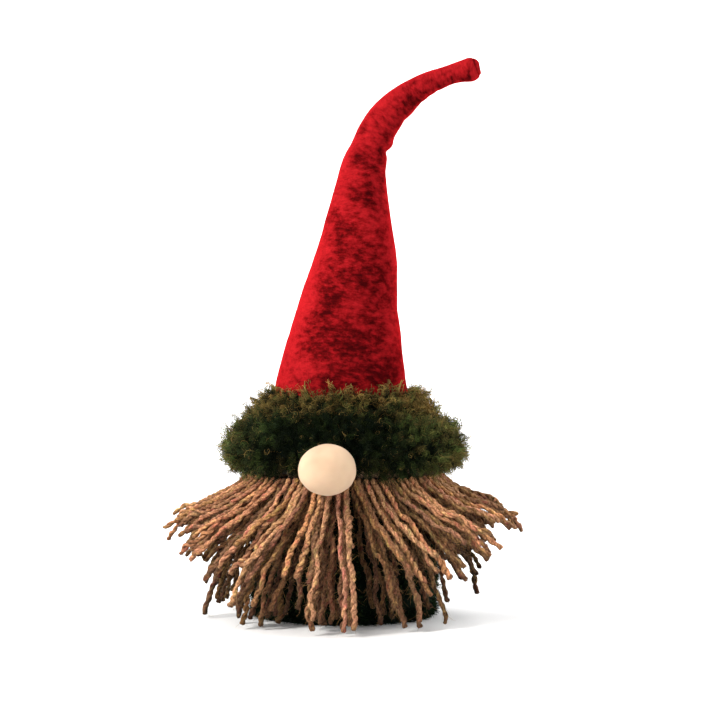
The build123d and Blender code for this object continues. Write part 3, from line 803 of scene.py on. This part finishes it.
def hat_surface():
    """Rings of the hat's outside in metres, (rows, AROUND, 3), the distance of each along the hat, the
    angles round it, the middle line, its tangent, and how crushed the nap is, with painted shade.  Angle 0
    faces +X across the line, and a quarter turn is +Y."""
    line, at = spline_through(HAT_LINE, HAT_ROWS)
    tangent = unit(np.gradient(line[:, :2], axis=0))
    x, z, r = line[:, 0], line[:, 1], line[:, 2]
    angle = ring_angles(AROUND)
    out_x, out_z = tangent[:, 1], -tangent[:, 0]
    facing = np.cos(angle)[None]
    total = at[-1]
    spot = stacked(facing * 30, np.sin(angle)[None] * 30, at[:, None])
    soft = noise(spot, 34.0, 5) * 0.55 + noise(spot, 15.0, 6) * 0.28 + noise(spot, 6.0, 7) * 0.1
    radius = r[:, None] + soft * np.clip(r / 20.0, 0.35, 1.0)[:, None]
    inside = np.clip(facing - 0.1, 0, 1) ** 1.2
    for where, depth, width in CREASES:
        radius = radius - depth * bell(at - total + where, width)[:, None] * inside
    # the seam up the back: a groove between two soft lips
    beside = (angle - math.pi / 2)[None] * r[:, None]
    radius = radius - 0.75 * bell(beside, SEAM_W) + 0.3 * bell(abs(beside) - SEAM_LIP, SEAM_W)
    px = x[:, None] + radius * facing * out_x[:, None]
    py = radius * np.sin(angle)[None]
    pz = z[:, None] + radius * facing * out_z[:, None]
    # where the nap is crushed dark, with painted shade: the front right of the cone, away from the light, the
    # creases, the tip's underside
    lean = np.cos(angle + CRUSHED_SHADED_SIDE)[None] + 0 * at[:, None]
    nap_and_shade = 1.1 * smoothstep(0.0, 0.95, lean) * (0.55 + 0.45 * smoothstep(total, 20.0, at))[:, None]
    nap_and_shade = nap_and_shade + 0.34 * noise(spot, 13.0, 8) - 0.25 * smoothstep(40.0, 0.0, at)[:, None]
    under = smoothstep(0.0, 0.9, facing) * smoothstep(total - 72.0, total - 30.0, at)[:, None]
    nap_and_shade = nap_and_shade + 0.45 * under
    in_crease = bell(at - total + DEEPEST_CREASE, 5.0)[:, None]
    nap_and_shade = nap_and_shade + 0.5 * in_crease * smoothstep(0.2, 0.9, facing)
    return np.stack([px, py, pz], -1) * MM, at, angle, line, tangent, np.clip(nap_and_shade, 0, 1.2)


def hat_end(angle, line, tangent):
    """Rings that close the hat's end in a sewn swirl, and how crushed the nap is on them, with painted shade
    in the swirl's folds.
    """
    direction = np.array([tangent[-1, 0], 0, tangent[-1, 1]])
    across = np.array([tangent[-1, 1], 0, -tangent[-1, 0]])
    middle = np.array([line[-1, 0], 0, line[-1, 1]]) * MM
    outward = around(angle, across, np.array([0, 1.0, 0]))
    rings, nap_and_shade = [], []
    for share in np.linspace(0.05, 0.985, END_RINGS):
        bulge = END_BULGE * math.sin(share * math.pi / 2)
        radius = line[-1, 2] * math.cos(share * math.pi / 2) ** 0.8
        swirl = np.clip(np.cos(angle - END_TURN * share), 0, 1) ** 5 * smoothstep(0.12, 0.4, share)
        dip = END_DIP * smoothstep(0.75, 1.0, share)
        along = direction * MM * (bulge - dip - 0.55 * swirl)[:, None]
        rings.append(middle + along + MM * radius * outward)
        # painted shade in the folds of the sewn swirl and at the very end, with crushed nap
        nap_and_shade.append(0.35 + 0.9 * swirl + 0.5 * smoothstep(0.8, 1.0, share))
    return np.array(rings), np.array(nap_and_shade)


def felt_piece(name, verts, quads, tris, cloth, nap_and_shade):
    piece = mesh_piece(name, verts, quads, tris, RED_FELT)
    paint_vector(piece, "cloth", cloth)
    # the tint carries how crushed the nap is, and the painted shade
    paint_tint(piece, np.repeat(nap_and_shade.reshape(-1, 1), 3, 1))
    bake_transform(piece)
    return piece


def seam_stitches(name, rings, line, at, first, last):
    """Slanting stitches over the seam up the back, from one row of the hat to another."""
    centre = np.stack([line[:, 0], 0 * line[:, 0], line[:, 1]], -1) * MM
    share = np.linspace(-1, 1, 9)
    points = []
    for where in np.arange(at[first] + 1.2, at[last] - 1.2, STITCH_PITCH):
        row = np.round(np.interp(where + STITCH_SLANT * share, at, np.arange(len(at)))).astype(int)
        column = AROUND / 4 + share * STITCH_REACH / line[row, 2] * AROUND / FULL_TURN
        left = np.floor(column).astype(int)
        part = (column - left)[:, None]
        place = rings[row, left] * (1 - part) + rings[row, left + 1] * part
        lift = 0.05 + 0.6 * (1 - share ** 2)
        points.append(place + unit(place - centre[row]) * MM * lift[:, None])
    points = np.array(points)
    verts, quads, tris, _, _ = tubes(points, np.full(points.shape[:2], STITCH_R * MM), 8)
    piece = mesh_piece(name, verts, quads, tris, RED_THREAD)
    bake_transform(piece)
    return piece


def build_hat():
    rings, at, angle, line, tangent, nap_and_shade = hat_surface()
    split = int(np.argmin(abs(line[:, 1] - SPLIT_Z)))
    # place on the cloth, for the felt's noise
    cloth = MM * stacked(np.cos(angle) * line[:, 2:3], at[:, None], np.sin(angle) * line[:, 2:3])
    # lower piece: the skirt folds in at its edge and runs up inside
    turned = slice(TURNED_IN_ROWS - 1, None, -1)
    inner = rings[turned]
    centre = np.stack([line[turned, 0], 0 * line[turned, 0], line[turned, 1]], -1) * MM
    inner = inner - unit(inner - centre[:, None]) * FELT_THICKNESS * MM
    lower = np.concatenate([inner, rings[:split + 1]])
    piece = felt_piece(
        "hat_felt_lower", lower.reshape(-1, 3), grid_faces(len(lower), AROUND), NO_TRIS,
        np.concatenate([cloth[turned], cloth[:split + 1]]).reshape(-1, 3),
        np.concatenate([nap_and_shade[turned], nap_and_shade[:split + 1]]),
    )
    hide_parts("hat_lower", "hat_fold_lower")
    # upper piece: closed at its end
    end, end_nap_and_shade = hat_end(angle, line, tangent)
    upper = np.concatenate([rings[split:], end])
    hub = len(upper) * AROUND
    verts = np.concatenate([upper.reshape(-1, 3), end[-1].mean(0, keepdims=True)])
    end_cloth = np.repeat(cloth[-1:], END_RINGS, 0) + np.linspace(0, END_BULGE * MM, END_RINGS)[:, None, None]
    upper_cloth = np.concatenate([cloth[split:], end_cloth]).reshape(-1, 3)
    upper_nap_and_shade = np.concatenate([nap_and_shade[split:], end_nap_and_shade]).ravel()
    piece = felt_piece(
        "hat_felt_upper", verts, grid_faces(len(upper), AROUND), fan(hub, hub - AROUND, AROUND),
        np.concatenate([upper_cloth, upper_cloth[-1:]]),
        np.concatenate([upper_nap_and_shade, upper_nap_and_shade[-1:]]),
    )
    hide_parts("hat_middle", "hat_fold_upper", "hat_tip", "tip_stitch")
    first = int(np.argmin(abs(line[:, 1] - SEAM_FROM_Z)))
    stitches = seam_stitches("hat_seam_stitches_lower", rings, line, at, first, split)
    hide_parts("hat_seam_lower")
    stitches = seam_stitches("hat_seam_stitches_upper", rings, line, at, split, HAT_ROWS - 1)
    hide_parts("hat_seam_middle")


build_hat()

# ================================================================ nose
NOSE = np.array([0.0, -64.6, 76.7]) * MM
NOSE_SIZE = np.array([14.0, 14.0, 12.5]) * MM
NOSE_ROWS = 72
NOSE_COLUMNS = 112


def build_nose():
    """A slightly lumpy ball that is lower than it is wide."""
    v = np.linspace(0.0, math.pi, NOSE_ROWS + 2)[1:-1][:, None]
    u = ring_angles(NOSE_COLUMNS)[None]
    ring = stacked(np.sin(v) * np.cos(u), np.sin(v) * np.sin(u), np.cos(v))
    sphere = np.concatenate([ring.reshape(-1, 3), [UP, -UP]])
    lump = 1 + 0.022 * noise(sphere, 0.8, 34) + 0.012 * noise(sphere, 0.36, 32)
    lump = lump + 0.002 * noise(sphere, 0.08, 33)
    verts = NOSE + sphere * NOSE_SIZE * 0.985 * lump[:, None]
    quads, tris = closed_faces(NOSE_ROWS, NOSE_COLUMNS)
    # the rings go from the top down, so the faces are turned round
    piece = mesh_piece("nose_ball", verts, quads[:, ::-1], tris[:, [0, 2, 1]], WOOL)
    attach(piece, "figure")
    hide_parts("nose")


build_nose()


def nose_distance(points, grow):
    """Distance from the nose's middle, 1 on the nose's surface grown by a factor."""
    return np.linalg.norm((points - NOSE) / (NOSE_SIZE * grow), axis=-1, keepdims=True)


def off_nose(points, grow):
    """Points pushed out of the nose."""
    d = nose_distance(points, grow)
    return np.where(d < 1, NOSE + (points - NOSE) / np.maximum(d, 1e-3), points)


# ================================================================ curly pile
# near-black green: painted shade deep in the pile, at the fibres' roots and on the cloth under them
DEPTH_SHADE = np.array([0.0022, 0.0060, 0.0028])
BOTTLE = np.array([0.010, 0.026, 0.011])
MOSS = np.array([0.078, 0.122, 0.030])
UMBER = np.array([0.205, 0.118, 0.032])
STRAW = np.array([0.330, 0.215, 0.070])
SKIN_COLUMNS = 200


def outline(profile):
    """Rows along the outline of a surface of revolution: radius, height, and its outward direction."""
    fine, _ = spline_through(np.array(profile), 240)
    direction = unit(np.gradient(fine, axis=0))
    return np.stack([fine[:, 0], fine[:, 1], direction[:, 1], -direction[:, 0]], -1)


def curls(
    rows, keep, seed, tufts, per_tuft, length, coil, thick, spread, close, steps, droop=0.12, stray=0.45,
    uneven=0.25, hang=0.0,
):
    """Tufts of coiled fibres standing on a surface of revolution; a tuft's fibres draw together to
    close times their spread at the tips.  Returns points (K, n, 3) in metres, radii, the tuft of
    each fibre and the tufts' roots in millimetres."""
    draw = np.random.default_rng(seed)
    place = draw.choice(len(rows), tufts, p=rows[:, 0] / rows[:, 0].sum())
    out = horizontal(draw.uniform(0, FULL_TURN, tufts))
    normal = rows[place, 2:3] * out + rows[place, 3:] * UP
    root = rows[place, :1] * out + rows[place, 1:2] * UP
    good = keep(root)
    normal, root = normal[good], root[good]
    tufts = len(root)
    down = droop + hang * smoothstep(83.0, 77.0, root[:, 2])
    heading = unit(normal + stray * draw.normal(size=(tufts, 3)) - down[:, None] * UP)
    tuft_length = length * draw.uniform(0.6, 1.35, tufts) * (1 + uneven * noise(root, 7.0, seed + 1))
    tuft_side = unit(draw.normal(size=(tufts, 3)))
    tuft_spin = draw.uniform(0, 6.28, tufts)
    tuft_turns = draw.uniform(1.2, 2.8, tufts) * draw.choice([-1, 1], tufts)
    tuft_of = np.repeat(np.arange(tufts), per_tuft)
    count = len(tuft_of)
    scatter = draw.normal(size=(count, 3)) * spread
    n = normal[tuft_of]
    scatter -= (scatter * n).sum(-1, keepdims=True) * n
    start = root[tuft_of] + scatter - n * 0.8
    reach = tuft_length[tuft_of, None] * draw.uniform(0.7, 1.1, (count, 1))
    tip = root[tuft_of] + heading[tuft_of] * reach + draw.normal(size=(count, 3)) * spread * close
    t = np.linspace(0, 1, steps)[None, :, None]
    bow = unit(draw.normal(size=(tufts, 3)))[tuft_of, None] * 0.22 * reach[:, None] * np.sin(math.pi * t)
    points = start[:, None] * (1 - t) + tip[:, None] * t + bow
    axis = unit(tip - start)
    side = unit(np.cross(axis, tuft_side[tuft_of]))
    other = np.cross(axis, side)
    turns = (tuft_turns[tuft_of] * draw.uniform(0.85, 1.2, count))[:, None, None]
    spin = (tuft_spin[tuft_of] + draw.normal(size=count) * 0.7)[:, None, None] + FULL_TURN * turns * t
    wide = coil * draw.uniform(0.6, 1.3, (count, 1, 1)) * smoothstep(0, 0.4, t)
    points = points + wide * around(spin[..., 0], side[:, None], other[:, None])
    radii = thick * draw.uniform(0.7, 1.35, (count, 1)) * (1 - 0.5 * np.linspace(0, 1, steps)[None] ** 2)
    return points * MM, radii * MM, tuft_of, root


def root_to_tip(tip, steps, start, end):
    """Colours (K, steps, 3) of fibres that are painted near-black green at the root, as the shade deep in the
    pile, and reach tip by the end share.
    """
    t = np.linspace(0, 1, steps)[None, :, None]
    return DEPTH_SHADE + (tip[:, None] - DEPTH_SHADE) * smoothstep(start, end, t)


def fibre_pieces(name, points, radii, colours, material, most):
    """The fibres as closed meshes on the figure, with at most so many fibres in each."""
    last_step = points.shape[1] - 1
    for part, first in enumerate(range(0, len(points), most)):
        chunk = slice(first, first + most)
        verts, quads, tris, owner, along = tubes(points[chunk], radii[chunk], 3)
        step = np.clip(np.round(along * last_step).astype(int), 0, last_step)
        piece = mesh_piece(f"{name}_{part + 1}", verts, quads, tris, material)
        paint_tint(piece, colours[chunk][owner, step])
        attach(piece, "figure")


def skin(name, rows, lumps, scale, seed, material, shape=lambda rings: rings):
    """The cloth under a pile: a surface of revolution with soft lumps, then put through shape."""
    line = rows[::3, :2]
    out = horizontal(ring_angles(SKIN_COLUMNS))
    rings = line[:, None, :1] * out[None] + line[:, None, 1:] * UP
    direction = unit(np.gradient(line, axis=0))
    away = direction[:, None, 1:] * out[None] - direction[:, None, :1] * UP
    rings = shape((rings + away * (lumps * noise(rings, scale, seed))[..., None]) * MM)
    verts = rings.reshape(-1, 3)
    piece = mesh_piece(name, verts, grid_faces(len(line), SKIN_COLUMNS), NO_TRIS, material)
    # the cloth under the pile is painted near-black green, as the pile's shade
    paint_tint(piece, np.tile(DEPTH_SHADE, (len(verts), 1)))
    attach(piece, "figure")
    return piece


# ================================================================ brim
# cloth of the brim under its pile: radius, height, from the lower inner edge round to the hat
BRIM_LINE = [
    (50.2, 86.0), (50.6, 79.0), (52.4, 77.6), (54.8, 78.6), (56.2, 82.5), (55.6, 87.0), (52.4, 91.6),
    (47.4, 96.0), (42.4, 101.6), (38.6, 107.0), (35.8, 109.8), (34.4, 108.6),
]
BARE_ROWS = 14                     # rows of the brim's inner edge that have no pile


def brim_tips(root, tuft_of, draw, light):
    """Colour of each fibre's tip: dark bottle green in the middle, moss green at the sides, and brown
    with straw glints at the top, at the sides and in patches."""
    patch = noise(root, 10.0, 303)
    turn = np.abs(np.arctan2(root[:, 0], -root[:, 1]))
    top = smoothstep(94.0, 108.0, root[:, 2] + 4.0 * patch)
    side = smoothstep(0.5, 1.4, turn) * 0.44
    low = smoothstep(84.0, 78.0, root[:, 2]) * 0.25 * smoothstep(-0.6, 0.5, patch)
    warm = np.clip(top + side + low + 0.3 * np.clip(patch, 0, 1), 0, 1)
    green = draw.uniform(0, 1, (len(root), 1)) ** 1.4
    tuft = BOTTLE + (MOSS - BOTTLE) * green
    tuft = tuft + (UMBER - tuft) * (warm * draw.uniform(0.15, 1.0, len(root)))[:, None]
    tuft = tuft * (1.0 - 0.6 * smoothstep(0.0, 0.7, noise(root, 8.0, 305)) * (1.0 - warm))[:, None]
    middle = (1.0 - smoothstep(0.45, 1.15, turn)) * (1.0 - 0.8 * top)
    tuft = tuft * (1.12 - 0.90 * middle)[:, None]
    tip = tuft[tuft_of] * draw.uniform(0.4, 1.9, (len(tuft_of), 1))
    glint = (draw.uniform(0, 1, len(tuft_of)) < 0.008 + 0.24 * (warm - low)[tuft_of])[:, None]
    return np.where(glint, tip + (STRAW - tip) * draw.uniform(0.2, 0.8, (len(tip), 1)), tip) * light


def build_brim():
    rows = outline(BRIM_LINE)
    base = skin("brim_cloth", rows, 0.6, 9.0, 41, PILE, lambda rings: off_nose(rings, 1.02))
    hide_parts("brim_pile", "brim_backing")

    def clear_of_nose(root):
        return nose_distance(root * MM, 1.04)[:, 0] > 1

    def pile(name, seed, steps, light, most, **tufts):
        points, radii, tuft_of, root = curls(
            rows[BARE_ROWS:], clear_of_nose, seed, steps=steps, stray=0.55, uneven=0.5, hang=0.7, **tufts,
        )
        tip = brim_tips(root, tuft_of, np.random.default_rng(seed + 7), light)
        colours = root_to_tip(tip, steps, 0.25, 0.95)
        fibre_pieces(name, off_nose(points, 1.05), radii, colours, PILE, most)

    pile(
        "brim_under", 301, steps=7, light=0.55, most=4800, tufts=1900, per_tuft=7, length=3.2, coil=0.7,
        thick=0.20, spread=1.7, close=1.0,
    )
    pile(
        "brim_curls", 311, steps=13, light=1.1, most=2600, tufts=1250, per_tuft=12, length=6.6, coil=1.0,
        thick=0.18, spread=1.4, close=0.55,
    )
    pile(
        "brim_wisps", 321, steps=13, light=1.25, most=2600, tufts=1000, per_tuft=6, length=9.2, coil=0.9,
        thick=0.12, spread=1.0, close=0.6,
    )


build_brim()

# ================================================================ plush bag
BAG_LINE = [
    (30.0, 2.2), (41.0, 2.2), (44.2, 4.2), (45.2, 10.0), (46.0, 18.0), (45.6, 32.0), (42.8, 48.0),
    (39.4, 61.0), (37.6, 70.0), (37.2, 79.0),
]
PLUSH_STEPS = 7
MOST_PLUSH = 5200                  # fibres in one piece


def build_bag():
    rows = outline(BAG_LINE)
    base = skin("plush_cloth", rows, 0.35, 8.0, 51, PLUSH)
    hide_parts("body_bag")

    def plush(name, points, radii, tip, clearance):
        points[..., 2] = np.maximum(points[..., 2], clearance * MM)
        colours = root_to_tip(tip, PLUSH_STEPS, 0.1, 0.9)
        fibre_pieces(name, points, radii, colours, PLUSH, MOST_PLUSH)

    points, radii, _, _ = curls(
        rows, lambda root: (root[:, 2] > 3.2) & (root[:, 2] < 76.0), 501, tufts=3000, per_tuft=6,
        length=3.4, coil=0.5, thick=0.15, spread=1.3, close=0.6, steps=PLUSH_STEPS, droop=0.35,
    )
    draw = np.random.default_rng(502)
    count = len(points)
    tip = BOTTLE * draw.uniform(0.4, 1.2, (count, 1))
    tip = tip + (MOSS - BOTTLE) * draw.uniform(0, 0.6, (count, 1)) ** 2
    plush("plush_pile", points, radii, tip, 0.5)
    # a longer fringe round the foot
    points, radii, _, _ = curls(
        rows[(rows[:, 1] < 6.0) & (rows[:, 0] > 42.0)], lambda root: root[:, 2] > 2.0, 511, tufts=620,
        per_tuft=8, length=3.8, coil=0.6, thick=0.17, spread=1.3, close=0.9, steps=PLUSH_STEPS, droop=0.5,
    )
    plush("plush_hem", points, radii, BOTTLE * draw.uniform(0.3, 1.0, (len(points), 1)), 0.4)


build_bag()

# ================================================================ floor, light, camera
# floor and wall in metres: radius, height
STAGE_LINE = np.array([
    (0.6, 0.0), (1.2, 0.0), (1.7, 0.03), (2.05, 0.16), (2.3, 0.45), (2.42, 0.9), (2.45, 1.6), (2.45, 2.6),
])
STAGE_ROWS = 60
STAGE_COLUMNS = 96
AIM = (0.0, 0.0, 0.13)
CAMERA_AZIMUTH = math.radians(6.5)
CAMERA_DISTANCE = 0.90
CAMERA_HEIGHT = 0.1285
CAMERA_SHIFT = 0.0081              # to the right of the object's middle
FRAME_HEIGHT = 0.3658              # what the camera sees at its distance
SENSOR = 36.0


def build_stage():
    """A round pale floor that curves up into a wall on every side."""
    angle = ring_angles(STAGE_COLUMNS)[None]
    line, _ = spline_through(STAGE_LINE, STAGE_ROWS)
    rings = stacked(line[:, :1] * np.cos(angle), line[:, :1] * np.sin(angle), line[:, 1:])
    verts = np.concatenate([rings.reshape(-1, 3), [[0, 0, 0]]])
    quads = grid_faces(STAGE_ROWS, STAGE_COLUMNS)[:, ::-1]
    material, _, shader = nodes_of("pale_floor")
    set_inputs(shader, Base_Color=(0.9, 0.9, 0.9, 1), Roughness=0.9, Specular_IOR_Level=0.1)
    floor = mesh_piece("floor", verts, quads, fan(len(verts) - 1, 0, STAGE_COLUMNS), material)


def area_light(name, place, target, size, power, colour=(1, 1, 1)):
    light = bpy.data.lights.new(name, "AREA")
    light.shape = "DISK"
    light.size = size
    light.energy = power
    light.color = colour
    obj = bpy.data.objects.new(name, light)
    obj.location = place
    obj.rotation_euler = (Vector(target) - Vector(place)).to_track_quat("-Z", "Y").to_euler()
    bpy.context.scene.collection.objects.link(obj)


def build_world():
    world = bpy.data.worlds.new("studio")
    world.use_nodes = True
    set_inputs(world.node_tree.nodes["Background"], Color=(1, 1, 1, 1), Strength=0.32)
    bpy.context.scene.world = world


def build_camera():
    """A level camera, a little to the right of the front."""
    camera = bpy.data.cameras.new("camera")
    camera.sensor_width = SENSOR
    camera.lens = SENSOR * CAMERA_DISTANCE / FRAME_HEIGHT
    camera.clip_start = 0.01
    obj = bpy.data.objects.new("camera", camera)
    right = Vector((math.cos(CAMERA_AZIMUTH), math.sin(CAMERA_AZIMUTH), 0))
    back = Vector((math.sin(CAMERA_AZIMUTH), -math.cos(CAMERA_AZIMUTH), 0))
    obj.location = back * CAMERA_DISTANCE + right * CAMERA_SHIFT + Vector((0, 0, CAMERA_HEIGHT))
    obj.rotation_euler = (-back).to_track_quat("-Z", "Y").to_euler()
    bpy.context.scene.collection.objects.link(obj)
    bpy.context.scene.camera = obj


build_stage()
area_light("key", (-0.90, -0.86, 0.95), AIM, 0.42, 25.0, (1.0, 0.97, 0.93))
area_light("fill", (1.1, -0.8, 0.5), AIM, 0.8, 1.0, (0.95, 0.97, 1.0))
area_light("rim", (0.9, 0.75, 0.6), AIM, 0.6, 3.0)
area_light("backdrop_left", (-0.9, 0.7, 1.5), (-0.9, 2.2, 0.2), 1.2, 42.0)
area_light("backdrop_right", (0.9, 0.7, 1.5), (0.9, 2.2, 0.2), 1.2, 42.0)
build_world()
build_camera()
bpy.context.scene.view_settings.view_transform = "Standard"
